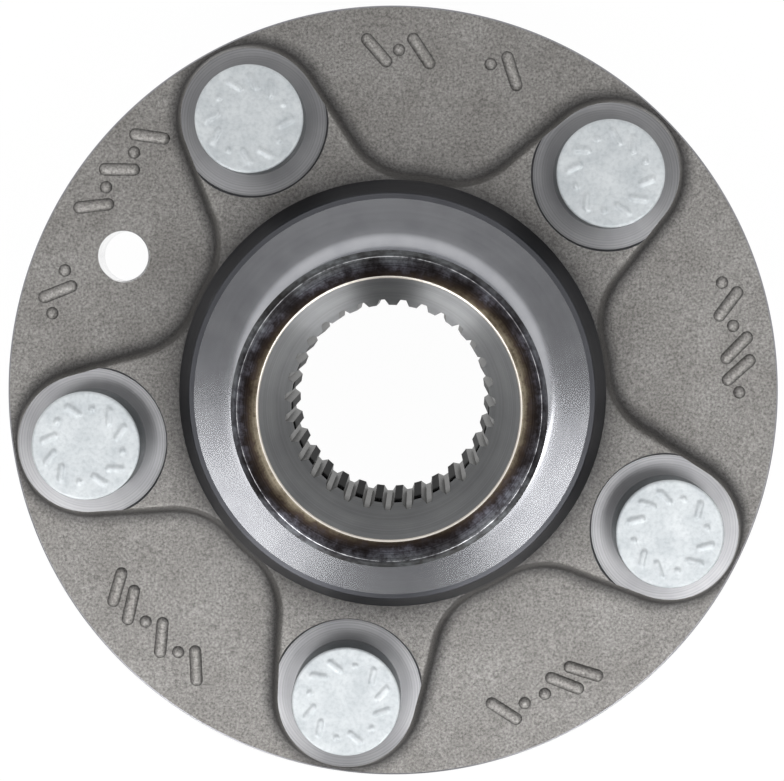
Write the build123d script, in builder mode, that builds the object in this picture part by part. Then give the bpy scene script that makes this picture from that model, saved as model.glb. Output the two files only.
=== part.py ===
"""Driven wheel hub: a forged and machined steel hub with five pressed-in wheel studs.

+Z is the hub's axis and points inboard, to the bearing spigot. Z = 0 is the outboard face
that the brake disc and the wheel are clamped to, so the studs' threads reach below it.
"""
import os
from math import cos, hypot, radians, sin, tan

from build123d import *

# ------------------------------------------------------------- driving dimensions, mm
# Wheel and brake disc side
pitch_circle_dia = 108.0
stud_count = 5
first_stud_angle = 45.4
pilot_dia = 63.4
pilot_length = 12.0
pilot_lead = 1.5
relief_groove_width = 2.6
relief_groove_depth = 0.8

# Flange forging
flange_dia = 138.0
rim_thickness = 8.0
rim_chamfer = 0.3
pocket_floor_rise = 1.2
lobe_centre_radius = 54.9
lobe_radius = 13.3
lobe_neck_radius = 12.5
arm_flare_angle = 6.3
lobe_draft_angle = 14.0
crown_height = 13.1
crown_slope_reach = 12.0
lobe_edge_radius = 0.5
spider_core_dia = 78.2
spider_foot_radius = 0.4

# Central boss and bearing spigot
boss_foot_dia = 75.2
boss_foot_height = 14.4
boss_top_dia = 69.8
shoulder_height = 23.5
shoulder_chamfer = 0.9
seat_dia = 50.0
seat_fillet = 3.2
spigot_end_height = 54.0
spigot_end_chamfer = 1.0

# Bore: axle nut recess, drive spline and mouth cone
nut_recess_dia = 52.0
nut_recess_draft = 3.0
nut_recess_corner = 2.0
nut_seat_height = 14.4
spline_teeth = 31
spline_minor_dia = 32.2
spline_major_dia = 34.1
spline_root_width = 0.9
spline_flank_angle = 30.0
spline_lead = 1.5
spline_inner_end = 42.1
spline_start_angle = 1.5
mouth_dia = 41.1
mouth_chamfer = 0.3

# Stud seats and locating hole
stud_seat_height = 12.4
stud_seat_dia = 26.6
stud_hole_dia = 13.0
stud_hole_chamfer = 0.8
locating_hole_dia = 9.0
locating_hole_chamfer = 0.4

# Wheel stud, M12 x 1.5
stud_head_dia = 19.0
stud_head_height = 7.2
stud_head_edge = 0.5
stud_thread_dia = 12.0
stud_reach = 38.0
neck_dia = 11.6
neck_length = 1.0
serration_count = 36
serration_depth = 0.25
serration_stop = 2.0
serration_clearance = 0.0
thread_lead = 0.8
dog_point_dia = 9.8
dog_point_length = 3.0
dog_point_chamfer = 0.8

# ------------------------------------------------------------- worked-out places
flange_radius = flange_dia / 2
pitch_radius = pitch_circle_dia / 2
stud_pitch_angle = 360 / stud_count
pocket_root_height = rim_thickness + pocket_floor_rise
locating_hole_angle = first_stud_angle + 1.5 * stud_pitch_angle
spigot_base = seat_dia / 2 + seat_fillet


def reach(edge):
    """Distance of an edge's middle from the hub's axis."""
    middle = edge @ 0.5
    return hypot(middle.X, middle.Y)


def hole_walls(builder, diameter):
    """Cylindrical faces of one diameter. A trimmed rounding may have no radius to read."""
    walls = builder.faces().filter_by(GeomType.CYLINDER)
    return walls.filter_by(lambda face: abs((face.radius or 0) - diameter / 2) < 0.001)


# ------------------------------------------------------------- spider
# The raised five-armed star on the flange's inboard face. An arm widens a little towards the
# hub, its forged walls lean in by the draft angle, and the crown is flat at the studs and
# rises to the boss. Between two arms the wall runs up into the boss.
crown_slope_start = boss_foot_dia / 2 + crown_slope_reach
crown_slope = (boss_foot_height - crown_height) / crown_slope_reach
flare = radians(arm_flare_angle)
arm_root = lobe_radius / cos(flare) + lobe_centre_radius * tan(flare)
nose_start = (lobe_centre_radius + lobe_radius * sin(flare), lobe_radius * cos(flare))
nose_tip = (lobe_centre_radius + lobe_radius, 0)

with BuildSketch() as arm:
    with BuildLine():
        Polyline((nose_start[0], -nose_start[1]), (0, -arm_root), (0, arm_root), nose_start)
        ThreePointArc(nose_start, nose_tip, (nose_start[0], -nose_start[1]))
    make_face()

with BuildPart() as spider:
    with BuildSketch(Plane.XY.offset(rim_thickness)) as arms:
        Circle(spider_core_dia / 2)
        with PolarLocations(0, stud_count, first_stud_angle):
            add(arm.sketch)
        arm_roots = arms.vertices().group_by(SortBy.DISTANCE)[0]
        fillet(arm_roots, lobe_neck_radius)
    extrude(amount=boss_foot_height)
    walls = spider.faces().filter_by(lambda face: abs(face.normal_at().Z) < 0.01)
    draft(walls, Plane.XY.offset(rim_thickness), lobe_draft_angle)
    with BuildSketch(Plane.XZ) as crown:
        with BuildLine():
            Polyline(
                (spigot_base, 0),
                (flange_radius, 0),
                (flange_radius, crown_height),
                (crown_slope_start, crown_height),
                (spigot_base, boss_foot_height + crown_slope * (boss_foot_dia / 2 - spigot_base)),
                close=True,
            )
        make_face()
    revolve(axis=Axis.Z, mode=Mode.INTERSECT)
    crown_edges = spider.edges().filter_by(
        lambda edge: min((edge @ 0).Z, (edge @ 1).Z) > crown_height - 0.01
    )
    wall_tops = crown_edges.filter_by(
        lambda edge: edge.geom_type != GeomType.CIRCLE
        or hypot(edge.arc_center.X, edge.arc_center.Y) > 1
        or spigot_base + 0.1 < edge.radius < crown_slope_start - 0.1
    )
    fillet(wall_tops, lobe_edge_radius)

# ------------------------------------------------------------- hub
# One forging, turned all over except the pockets and the spider. The section runs from
# the spline over the spigot end, down the boss and web, and back under the pilot.
recess_mouth = nut_recess_dia / 2
recess_taper = (nut_seat_height + pilot_length) * tan(radians(nut_recess_draft))
spline_minor = spline_minor_dia / 2
seat_radius = seat_dia / 2
mouth_radius = mouth_dia / 2
boss_foot = boss_foot_dia / 2
boss_top = boss_top_dia / 2
pilot_radius = pilot_dia / 2
groove_edge = pilot_radius + relief_groove_width
spline_outer_end = nut_seat_height + spline_lead

with BuildPart() as hub:
    with BuildSketch(Plane.XZ) as section:
        with BuildLine():
            spigot = Polyline(
                (spline_minor, spline_outer_end),
                (spline_minor, spline_inner_end),
                (mouth_radius, spigot_end_height - mouth_chamfer),
                (mouth_radius + mouth_chamfer, spigot_end_height),
                (seat_radius - spigot_end_chamfer, spigot_end_height),
                (seat_radius, spigot_end_height - spigot_end_chamfer),
                (seat_radius, shoulder_height + seat_fillet),
            )
            corner = RadiusArc(spigot @ 1, (spigot_base, shoulder_height), -seat_fillet)
            Polyline(
                corner @ 1,
                (boss_top - shoulder_chamfer, shoulder_height),
                (boss_top, shoulder_height - shoulder_chamfer),
                (boss_foot, boss_foot_height),
                (boss_foot, pocket_root_height),
                (flange_radius - rim_chamfer, rim_thickness),
                (flange_radius, rim_thickness - rim_chamfer),
                (flange_radius, rim_chamfer),
                (flange_radius - rim_chamfer, 0),
                (groove_edge, 0),
                (groove_edge - relief_groove_depth, relief_groove_depth),
                (pilot_radius, relief_groove_depth),
                (pilot_radius, 2 * pilot_lead - pilot_length),
                (pilot_radius - pilot_lead, -pilot_length),
                (recess_mouth, -pilot_length),
                (recess_mouth - recess_taper, nut_seat_height),
                (spline_minor + spline_lead, nut_seat_height),
                spigot @ 0,
            )
        make_face()
    revolve(axis=Axis.Z)
    recess_corner = hub.edges().filter_by(GeomType.CIRCLE).filter_by(
        lambda edge: abs(edge.radius - recess_mouth + recess_taper) < 0.01
    )
    fillet(recess_corner, nut_recess_corner)
    add(spider.part)
    spider_foot = hub.edges().filter_by(
        lambda edge: rim_thickness - 0.01 < (edge @ 0.5).Z < pocket_root_height
        and spider_core_dia / 2 - 1 < reach(edge) < lobe_centre_radius + lobe_radius + 0.1
        and abs((edge @ 0).Y) + abs((edge @ 1).Y) > 0.01
    )
    fillet(spider_foot, spider_foot_radius)

    # Stud holes, each spotfaced on its arm and countersunk on the disc face
    with Locations(Plane.XY.offset(boss_foot_height)):
        with PolarLocations(pitch_radius, stud_count, first_stud_angle):
            CounterBoreHole(
                stud_hole_dia / 2, stud_seat_dia / 2, boss_foot_height - stud_seat_height
            )
        with PolarLocations(pitch_radius, 1, locating_hole_angle):
            Hole(locating_hole_dia / 2)
    stud_hole_mouths = hole_walls(hub, stud_hole_dia).edges().group_by(Axis.Z)[0]
    chamfer(stud_hole_mouths, stud_hole_chamfer)
    locating_hole_mouths = hole_walls(hub, locating_hole_dia).edges()
    chamfer(locating_hole_mouths.filter_by(GeomType.LINE, reverse=True), locating_hole_chamfer)

    # Drive spline, broached through from the nut seat and running out in the mouth cone
    root = spline_major_dia / 2
    space_depth = root - spline_minor + 1
    space_mouth = spline_root_width / 2 + space_depth * tan(radians(spline_flank_angle))
    with BuildSketch(Plane.XY.offset(nut_seat_height)) as spaces:
        with PolarLocations(0, spline_teeth, spline_start_angle):
            Polygon(
                (root, spline_root_width / 2),
                (root, -spline_root_width / 2),
                (root - space_depth, -space_mouth),
                (root - space_depth, space_mouth),
                align=None,
            )
    extrude(amount=spigot_end_height - nut_seat_height, mode=Mode.SUBTRACT)

hub.part.label = "hub"

# ------------------------------------------------------------- wheel studs
# Each is cold-headed and rolled: a flat round head that seats on the spotface, a serrated
# shank pressed into the flange, a short neck, the thread and a dog point.
crest_radius = stud_hole_dia / 2 - serration_clearance
shank_radius = crest_radius - serration_depth
thread_radius = stud_thread_dia / 2
dog_radius = dog_point_dia / 2
serration_top = stud_seat_height - neck_length
thread_start = serration_stop - neck_length

with BuildPart() as stud:
    with BuildSketch(Plane.XZ) as stud_section:
        with BuildLine():
            Polyline(
                (0, stud_seat_height + stud_head_height),
                (stud_head_dia / 2 - stud_head_edge, stud_seat_height + stud_head_height),
                (stud_head_dia / 2, stud_seat_height + stud_head_height - stud_head_edge),
                (stud_head_dia / 2, stud_seat_height),
                (neck_dia / 2, stud_seat_height),
                (neck_dia / 2, serration_top),
                (shank_radius, serration_top),
                (shank_radius, serration_stop),
                (neck_dia / 2, serration_stop),
                (neck_dia / 2, thread_start),
                (thread_radius, thread_start - thread_lead),
                (thread_radius, dog_point_length + thread_lead - stud_reach),
                (dog_radius, dog_point_length - stud_reach),
                (dog_radius, dog_point_chamfer - stud_reach),
                (dog_radius - dog_point_chamfer, -stud_reach),
                (0, -stud_reach),
                close=True,
            )
        make_face()
    revolve(axis=Axis.Z)
    with BuildSketch(Plane.XY.offset(serration_stop)) as serrations:
        Circle(shank_radius)
        with PolarLocations(shank_radius, serration_count):
            Rectangle(serration_depth * 2**0.5, serration_depth * 2**0.5, rotation=45)
    extrude(amount=serration_top - serration_stop)

wheel_studs = []
for number, place in enumerate(PolarLocations(pitch_radius, stud_count, first_stud_angle), 1):
    wheel_stud = stud.part.moved(place)
    wheel_stud.label = f"wheel_stud_{number}"
    wheel_studs.append(wheel_stud)

os.makedirs("parts", exist_ok=True)
for piece in [hub.part, *wheel_studs]:
    export_step(piece, f"parts/{piece.label}.step")
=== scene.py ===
"""Looks of the driven wheel hub: one turned and ground steel forging with five pressed-in studs.

Lengths in the sections are millimetres in the hub's own frame, +Z inboard, and a mesh is scaled
to metres once, where it is made.
"""

import bpy
import numpy as np
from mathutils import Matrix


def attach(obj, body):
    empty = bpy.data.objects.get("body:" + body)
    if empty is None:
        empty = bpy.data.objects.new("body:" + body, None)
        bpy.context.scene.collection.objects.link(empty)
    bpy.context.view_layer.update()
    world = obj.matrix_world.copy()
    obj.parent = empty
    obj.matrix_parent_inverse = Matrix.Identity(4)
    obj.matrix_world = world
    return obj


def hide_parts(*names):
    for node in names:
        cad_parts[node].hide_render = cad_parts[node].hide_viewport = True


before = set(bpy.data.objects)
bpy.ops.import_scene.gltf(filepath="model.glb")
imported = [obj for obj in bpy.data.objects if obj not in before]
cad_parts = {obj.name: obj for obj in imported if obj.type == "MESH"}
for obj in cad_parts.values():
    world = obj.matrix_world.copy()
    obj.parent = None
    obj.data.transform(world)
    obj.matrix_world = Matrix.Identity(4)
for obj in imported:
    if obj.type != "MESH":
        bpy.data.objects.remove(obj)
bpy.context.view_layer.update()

# ================================================================ camera
# The hub stands on its stud tips and is seen from nearly straight above its spigot end. The lens is
# shifted, because the axis of the view passes beside the middle of the frame.
IMAGE_WIDTH = 784
IMAGE_HEIGHT = 781
FOCAL_PIXELS = 2061.4
PRINCIPAL_POINT = (419.6, 285.2)
CAMERA_PLACE = (0.00489, 0.02296, 0.37727)
CAMERA_TURN = (-0.0109, 0.0004, 0.0)
SENSOR_WIDTH = 36.0
NEAREST_SEEN = 0.01

camera_data = bpy.data.cameras.new("camera")
camera_data.sensor_fit = "HORIZONTAL"
camera_data.sensor_width = SENSOR_WIDTH
camera_data.lens = FOCAL_PIXELS / IMAGE_WIDTH * SENSOR_WIDTH
camera_data.shift_x = (IMAGE_WIDTH / 2 - PRINCIPAL_POINT[0]) / IMAGE_WIDTH
camera_data.shift_y = (PRINCIPAL_POINT[1] - IMAGE_HEIGHT / 2) / IMAGE_WIDTH
camera_data.clip_start = NEAREST_SEEN
camera = bpy.data.objects.new("camera", camera_data)
camera.location = CAMERA_PLACE
camera.rotation_euler = CAMERA_TURN
bpy.context.scene.collection.objects.link(camera)
bpy.context.scene.camera = camera

# ================================================================ studio
# A white sheet in a cove that is white behind and at the sides and dim in front and overhead, with
# two soft boxes high in front, one on either side of the camera, and two low ones below them.
WHITE = "#ffffff"
COVE_SPREAD = 0.6
COVE_FROM = 0.08
COVE_TO = 0.45
DIM_LIGHT = 0.16
COVE_LIGHT = 1.0
STUDIO_LAMPS = {
    # name: (place in metres, watts, width in metres)
    "lamp_front_left": ((-0.209, -0.188, 0.552), 0.95, 0.22),
    "lamp_front_right": ((0.216, -0.181, 0.552), 1.10, 0.22),
    "lamp_low_left": ((-0.351, -0.634, 0.338), 2.8, 0.36),
    "lamp_low_right": ((0.351, -0.634, 0.338), 2.6, 0.36),
}


def linear(colour):
    """Linear RGBA of an sRGB hex colour."""
    srgb = np.array([int(colour[i : i + 2], 16) for i in (1, 3, 5)]) / 255
    low = srgb <= 0.04045
    return (*np.where(low, srgb / 12.92, ((srgb + 0.055) / 1.055) ** 2.4), 1.0)


def add_node(tree, kind, inputs=None, **settings):
    """Add a shader node, set its properties, and set or link its inputs."""
    node = tree.nodes.new("ShaderNode" + kind)
    for name, value in settings.items():
        setattr(node, name, value)
    for name, value in (inputs or {}).items():
        if isinstance(value, bpy.types.NodeSocket):
            tree.links.new(value, node.inputs[name])
        else:
            node.inputs[name].default_value = value
    return node


world = bpy.data.worlds.new("studio")
world.use_nodes = True
bpy.context.scene.world = world
world_tree = world.node_tree
world_tree.nodes.clear()
looking = add_node(world_tree, "TexCoord").outputs["Generated"]
looking_back = add_node(world_tree, "SeparateXYZ", {0: looking})
looking_flat = add_node(world_tree, "VectorMath", {0: looking, 1: (1, 1, 0)}, operation="MULTIPLY")
looking_aside = add_node(world_tree, "VectorMath", {0: looking_flat.outputs[0]}, operation="LENGTH")
into_cove = add_node(
    world_tree,
    "Math",
    {0: looking_aside.outputs["Value"], 1: COVE_SPREAD, 2: looking_back.outputs[1]},
    operation="MULTIPLY_ADD",
)
brightness = add_node(
    world_tree,
    "MapRange",
    {
        "Value": into_cove.outputs[0],
        "From Min": COVE_FROM,
        "From Max": COVE_TO,
        "To Min": DIM_LIGHT,
        "To Max": COVE_LIGHT,
    },
    interpolation_type="SMOOTHSTEP",
)
studio_light = add_node(world_tree, "Background", {"Color": linear(WHITE), "Strength": brightness.outputs[0]})
add_node(world_tree, "OutputWorld", {"Surface": studio_light.outputs[0]})

for lamp_name, (lamp_place, lamp_watts, lamp_width) in STUDIO_LAMPS.items():
    lamp_data = bpy.data.lights.new(lamp_name, "AREA")
    lamp_data.energy = lamp_watts
    lamp_data.size = lamp_width
    lamp = bpy.data.objects.new(lamp_name, lamp_data)
    lamp.location = lamp_place
    lamp.rotation_euler = (-lamp.location).to_track_quat("-Z", "Y").to_euler()
    bpy.context.scene.collection.objects.link(lamp)

# ================================================================ hub
# One steel forging. The star and the pockets keep their shot-blasted forging skin; the rim, disc
# face, pilot, boss, spigot and bore are turned, the bearing's seat and shoulder ground, and the
# drive spline broached.
MM = 0.001
ARMS = 5
FIRST_ARM = np.radians(45.4)
PITCH_RADIUS = 54.0
FLANGE_RADIUS = 69.0
RIM_HEIGHT = 8.0
RIM_ROUND = 0.3

LOBE_CENTRE = 54.9
LOBE_RADIUS = 13.3
ARM_FLARE = np.radians(6.3)
NECK_RADIUS = 12.5
CORE_RADIUS = 39.1
WALL_LEAN = np.tan(np.radians(14.0))
CROWN_HEIGHT = 13.1
CROWN_SLOPE_END = 49.6
POCKET_ROOT_HEIGHT = 9.2
FOOT_SOFTNESS = 2.4
LEAST_SOFTNESS = 0.02
TOP_SOFTNESS = 0.9

BOSS_FOOT_RADIUS = 37.6
BOSS_FOOT_HEIGHT = 14.4
BOSS_TOP_RADIUS = 34.9
SHOULDER_HEIGHT = 23.5
SHOULDER_CHAMFER = 0.9
SEAT_RADIUS = 25.0
SEAT_FILLET = 3.2
SPIGOT_END = 54.0
SPIGOT_CHAMFER = 1.0
MOUTH_RADIUS = 20.55
MOUTH_ROUND = 0.35
CREST_WIDTH = 0.09

TEETH = 31
SPLINE_START = np.radians(1.5)
SPLINE_MINOR = 16.1
SPLINE_MAJOR = 17.05
SPLINE_ROOT_HALF = 0.45
SPLINE_FLANK_SLOPE = np.tan(np.radians(30.0))
SPLINE_LEAD = 1.5
SPLINE_TOP = 42.1
NUT_SEAT_HEIGHT = 14.4
RECESS_RADIUS = 26.0
RECESS_LEAN = np.tan(np.radians(3.0))
RECESS_CORNER = 2.0

PILOT_RADIUS = 31.7
PILOT_END = -12.0
PILOT_LEAD = 1.5
GROOVE_WIDTH = 2.6
GROOVE_DEPTH = 0.8

COLUMNS_PER_TOOTH = 20
COLUMNS = TEETH * COLUMNS_PER_TOOTH
COLUMNS_PER_HALF_ARM = COLUMNS // ARMS // 2


def soft_max(a, b, softness):
    """Larger of two heights, with the corner between them rounded over about the softness."""
    return (a + b + np.sqrt((a - b) ** 2 + softness**2)) / 2


def soft_min(a, b, softness):
    """Smaller of two heights, with the corner between them rounded over about the softness."""
    return -soft_max(-a, -b, softness)


# The star's half arm in the plan: the nose's arc, a side that flares towards the core, the neck's
# arc and the core's circle. Each is known by the side's normal and by where it starts and ends.
SIDE_NORMAL = np.exp(1j * (np.pi / 2 - ARM_FLARE))
SIDE_ALONG = np.exp(-1j * ARM_FLARE)
SIDE_OFFSET = LOBE_CENTRE * np.sin(ARM_FLARE) + LOBE_RADIUS
SIDE_FROM = LOBE_CENTRE * np.cos(ARM_FLARE)
SIDE_TO = np.sqrt((CORE_RADIUS + NECK_RADIUS) ** 2 - (SIDE_OFFSET + NECK_RADIUS) ** 2)
NECK_CENTRE = (SIDE_OFFSET + NECK_RADIUS) * SIDE_NORMAL + SIDE_TO * SIDE_ALONG
CORE_FROM = np.angle(NECK_CENTRE)


def star_outline():
    """Points and outward normals of the star's foot, evenly spaced along one half arm.

    From the nose: an arc about the lobe's centre, the arm's straight side, the neck's inward
    arc, and the core's circle up to the middle of the pocket.
    """
    side_turn = np.angle(SIDE_NORMAL)
    lengths = np.array(
        [
            LOBE_RADIUS * side_turn,
            SIDE_FROM - SIDE_TO,
            NECK_RADIUS * (side_turn - CORE_FROM),
            CORE_RADIUS * (np.pi / ARMS - CORE_FROM),
        ]
    )
    ends = np.cumsum(lengths)
    s = np.linspace(0, ends[-1], COLUMNS_PER_HALF_ARM + 1)
    nose = np.exp(1j * np.clip(s, 0, ends[0]) / LOBE_RADIUS)
    side = np.clip(s - ends[0], 0, lengths[1])
    neck = np.exp(1j * (side_turn - np.clip(s - ends[1], 0, lengths[2]) / NECK_RADIUS))
    core = np.exp(1j * (CORE_FROM + np.clip(s - ends[2], 0, lengths[3]) / CORE_RADIUS))
    stretch = [s <= ends[0], s <= ends[1], s <= ends[2]]
    place = np.select(
        stretch,
        [
            LOBE_CENTRE + LOBE_RADIUS * nose,
            LOBE_CENTRE + LOBE_RADIUS * SIDE_NORMAL - side * SIDE_ALONG,
            NECK_CENTRE - NECK_RADIUS * neck,
        ],
        CORE_RADIUS * core,
    )
    return place, np.select(stretch, [nose, SIDE_NORMAL + 0 * neck, neck], core)


def round_the_arms(place, normal):
    """One half arm mirrored and turned into all five: complex places and complex unit normals."""
    place = np.concatenate([np.conj(place[:0:-1]), place[:-1]])
    normal = np.concatenate([np.conj(normal[:0:-1]), normal[:-1]])
    turns = np.exp(1j * (FIRST_ARM + np.arange(ARMS) * 2 * np.pi / ARMS))
    return (turns[:, None] * place).ravel(), (turns[:, None] * normal).ravel()


def distance_from_star(place):
    """Signed distance in the plan from the star's foot outline, negative inside it."""
    angle = np.mod(np.angle(place) - FIRST_ARM, 2 * np.pi / ARMS)
    angle = np.minimum(angle, 2 * np.pi / ARMS - angle)
    folded = np.abs(place) * np.exp(1j * angle)
    along = (folded * np.conj(SIDE_ALONG)).real
    return np.select(
        [along > SIDE_FROM, along > SIDE_TO, angle < CORE_FROM],
        [
            np.abs(folded - LOBE_CENTRE) - LOBE_RADIUS,
            (folded * np.conj(SIDE_NORMAL)).real - SIDE_OFFSET,
            NECK_RADIUS - np.abs(folded - NECK_CENTRE),
        ],
        np.abs(place) - CORE_RADIUS,
    )


def forged_height(place):
    """Height of the forging skin: the pocket floor, the leaning wall and the star's crown.

    The wall rises inwards from its foot by the draft; the corners are the soft larger of floor
    and wall, and the soft smaller of that and the crown. The foot gets crisper near the rim, where
    there is little room for it.
    """
    radius = np.abs(place)
    floor_fall = (POCKET_ROOT_HEIGHT - RIM_HEIGHT) / (FLANGE_RADIUS - RIM_ROUND - BOSS_FOOT_RADIUS)
    floor = RIM_HEIGHT + floor_fall * np.maximum(FLANGE_RADIUS - RIM_ROUND - radius, 0)
    slope = np.clip((CROWN_SLOPE_END - radius) / (CROWN_SLOPE_END - BOSS_FOOT_RADIUS), 0, 1)
    crown = CROWN_HEIGHT + (BOSS_FOOT_HEIGHT - CROWN_HEIGHT) * slope
    wall = RIM_HEIGHT - distance_from_star(place) / WALL_LEAN
    room = np.clip((FLANGE_RADIUS - RIM_ROUND - radius) / FOOT_SOFTNESS, LEAST_SOFTNESS, 1)
    return soft_min(crown, soft_max(floor, wall, FOOT_SOFTNESS * room), TOP_SOFTNESS)


outline, outline_normal = round_the_arms(*star_outline())
outline_angle = np.unwrap(np.angle(outline))

# The bore's columns stand on the teeth's corners: root, flank, land and flank of each space
space_half_angle = np.arctan(
    (SPLINE_ROOT_HALF + (SPLINE_MAJOR - SPLINE_MINOR) * SPLINE_FLANK_SLOPE) / SPLINE_MINOR
)
root_half_angle = np.arctan(SPLINE_ROOT_HALF / SPLINE_MAJOR)
tooth_angle = 2 * np.pi / TEETH
quarter = COLUMNS_PER_TOOTH // 4
corner_angles = np.array(
    [-space_half_angle, -root_half_angle, root_half_angle, space_half_angle, tooth_angle - space_half_angle]
)
in_tooth = np.interp(np.arange(COLUMNS_PER_TOOTH) / quarter, np.arange(5), corner_angles)
tooth_columns = (SPLINE_START + np.arange(TEETH)[:, None] * tooth_angle + in_tooth).ravel()
corner_radii = [SPLINE_MINOR, SPLINE_MAJOR, SPLINE_MAJOR, SPLINE_MINOR, SPLINE_MINOR]
tooth_radius = np.tile(np.interp(in_tooth, corner_angles, corner_radii), TEETH)
# The same column is carried all round the section, so both sets of angles start side by side
first_column = np.argmin(np.abs(np.exp(1j * tooth_columns) - np.exp(1j * outline_angle[0])))
tooth_columns = np.unwrap(np.roll(tooth_columns, -first_column))
tooth_radius = np.roll(tooth_radius, -first_column)
tooth_columns += 2 * np.pi * np.round((outline_angle[0] - tooth_columns[0]) / (2 * np.pi))

# The section's rows, each a ring of places, heights and the number of its finish in FINISHES
FORGED, TURNED, GROUND, TINTED, BROACHED, LAND, BLACK, EDGE, CREST, MILLED, CONE, BREAK, DRILLED = range(13)
rows = []


def ring(radius, height, relax, finish):
    """Add one row of the section: a circle whose columns are between teeth (0) and star (1)."""
    angle = tooth_columns + relax * (outline_angle - tooth_columns)
    rows.append((radius * np.exp(1j * angle), height + 0 * angle, finish))


def rings(start, end, count, relax, finish):
    """Add a straight stretch of the section, with the columns relaxing along it."""
    for t in np.arange(1, count + 1) / count:
        ring(
            start[0] + (end[0] - start[0]) * t,
            start[1] + (end[1] - start[1]) * t,
            relax[0] + (relax[1] - relax[0]) * t,
            finish,
        )


def corner_rings(centre, radius, from_degrees, to_degrees, count, relax, finish):
    """Add a rounded corner of the section: an arc about a centre in the radius-height plane."""
    for turn in np.radians(np.linspace(from_degrees, to_degrees, count)):
        ring(centre[0] + radius * np.cos(turn), centre[1] + radius * np.sin(turn), relax, finish)


# Broached spline, from its lead at the nut seat to where each space runs out in the mouth cone
cone_rise = (SPIGOT_END - MOUTH_ROUND - SPLINE_TOP) / (MOUTH_RADIUS - SPLINE_MINOR)
spline_bottom = NUT_SEAT_HEIGHT + SPLINE_LEAD - (tooth_radius - SPLINE_MINOR)
spline_top = SPLINE_TOP + (tooth_radius - SPLINE_MINOR) * cone_rise
on_land = np.roll(np.tile(np.arange(COLUMNS_PER_TOOTH) >= 3 * quarter, TEETH), -first_column)
tooth_finish = np.where(on_land, LAND, BROACHED)
for t in np.linspace(0, 1, 5):
    height = spline_bottom + (spline_top - spline_bottom) * t
    rows.append((tooth_radius * np.exp(1j * tooth_columns), height, tooth_finish))

CONE_CLEARANCE = 0.05
cone_radius = SPLINE_MAJOR + CONE_CLEARANCE
cone_start = (cone_radius, SPLINE_TOP + (cone_radius - SPLINE_MINOR) * cone_rise)
ring(*cone_start, 0.0, CONE)
mouth = (MOUTH_RADIUS, SPIGOT_END - MOUTH_ROUND)
rings(cone_start, mouth, 8, (0.0, 0.25), CONE)
face_inside = (MOUTH_RADIUS + MOUTH_ROUND, SPIGOT_END)
corner_rings((MOUTH_RADIUS + MOUTH_ROUND, SPIGOT_END - MOUTH_ROUND), MOUTH_ROUND, 160, 90, 6, 0.25, EDGE)
face_outside = (SEAT_RADIUS - SPIGOT_CHAMFER - CREST_WIDTH, SPIGOT_END)
rings(face_inside, face_outside, 6, (0.25, 0.4), TINTED)
crest = (SEAT_RADIUS - SPIGOT_CHAMFER, SPIGOT_END - CREST_WIDTH / 3)
rings(face_outside, crest, 1, (0.4, 0.4), CREST)
seat_end = (SEAT_RADIUS, SPIGOT_END - SPIGOT_CHAMFER)
rings(crest, seat_end, 2, (0.4, 0.4), TINTED)
seat_foot = (SEAT_RADIUS, SHOULDER_HEIGHT + SEAT_FILLET)
rings(seat_end, seat_foot, 8, (0.4, 0.7), GROUND)
fillet_centre = (SEAT_RADIUS + SEAT_FILLET, SHOULDER_HEIGHT + SEAT_FILLET)
corner_rings(fillet_centre, SEAT_FILLET, 180, 270, 14, 0.7, GROUND)
flat_outside = (BOSS_TOP_RADIUS - SHOULDER_CHAMFER, SHOULDER_HEIGHT)
rings((SEAT_RADIUS + SEAT_FILLET, SHOULDER_HEIGHT), flat_outside, 5, (0.7, 0.85), GROUND)
chamfer_foot = (BOSS_TOP_RADIUS, SHOULDER_HEIGHT - SHOULDER_CHAMFER)
rings(flat_outside, chamfer_foot, 2, (0.85, 0.85), BREAK)
# The boss's steep side takes the dark finish, painted shade
rings(chamfer_foot, (BOSS_FOOT_RADIUS, BOSS_FOOT_HEIGHT), 6, (0.85, 1.0), BLACK)

# Forged star and pockets, on rows that keep to the wall's outline so that its edges stay crisp
WALL_INSIDE = -2.2
WALL_OUTSIDE = 0.35
CROWN_CLEARANCE = 0.1
CROWN_ROWS = 11
WALL_ROWS = 22
POCKET_ROWS = 18
POCKET_CROWDING = 1.3
RIM_BLEND = 8
boss_foot = BOSS_FOOT_RADIUS * np.exp(1j * outline_angle)
crown_edge = outline + WALL_INSIDE * outline_normal
crown_edge *= np.maximum(1, (BOSS_FOOT_RADIUS + CROWN_CLEARANCE) / np.abs(crown_edge))
foot_edge = outline + WALL_OUTSIDE * outline_normal
rim_radius = FLANGE_RADIUS - RIM_ROUND
rim_edge = rim_radius * np.exp(1j * np.unwrap(np.angle(foot_edge)))
for t in np.linspace(0, 1, CROWN_ROWS)[1:-1]:
    place = boss_foot + (crown_edge - boss_foot) * t
    rows.append((place, forged_height(place), FORGED))
for t in np.linspace(0, 1, WALL_ROWS):
    place = crown_edge + (foot_edge - crown_edge) * t
    rows.append((place, forged_height(place), FORGED))
for t in np.linspace(0, 1, POCKET_ROWS)[1:] ** POCKET_CROWDING:
    place = foot_edge + (rim_edge - foot_edge) * t
    rows.append((place, forged_height(place) * (1 - t**RIM_BLEND) + RIM_HEIGHT * t**RIM_BLEND, FORGED))

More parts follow.
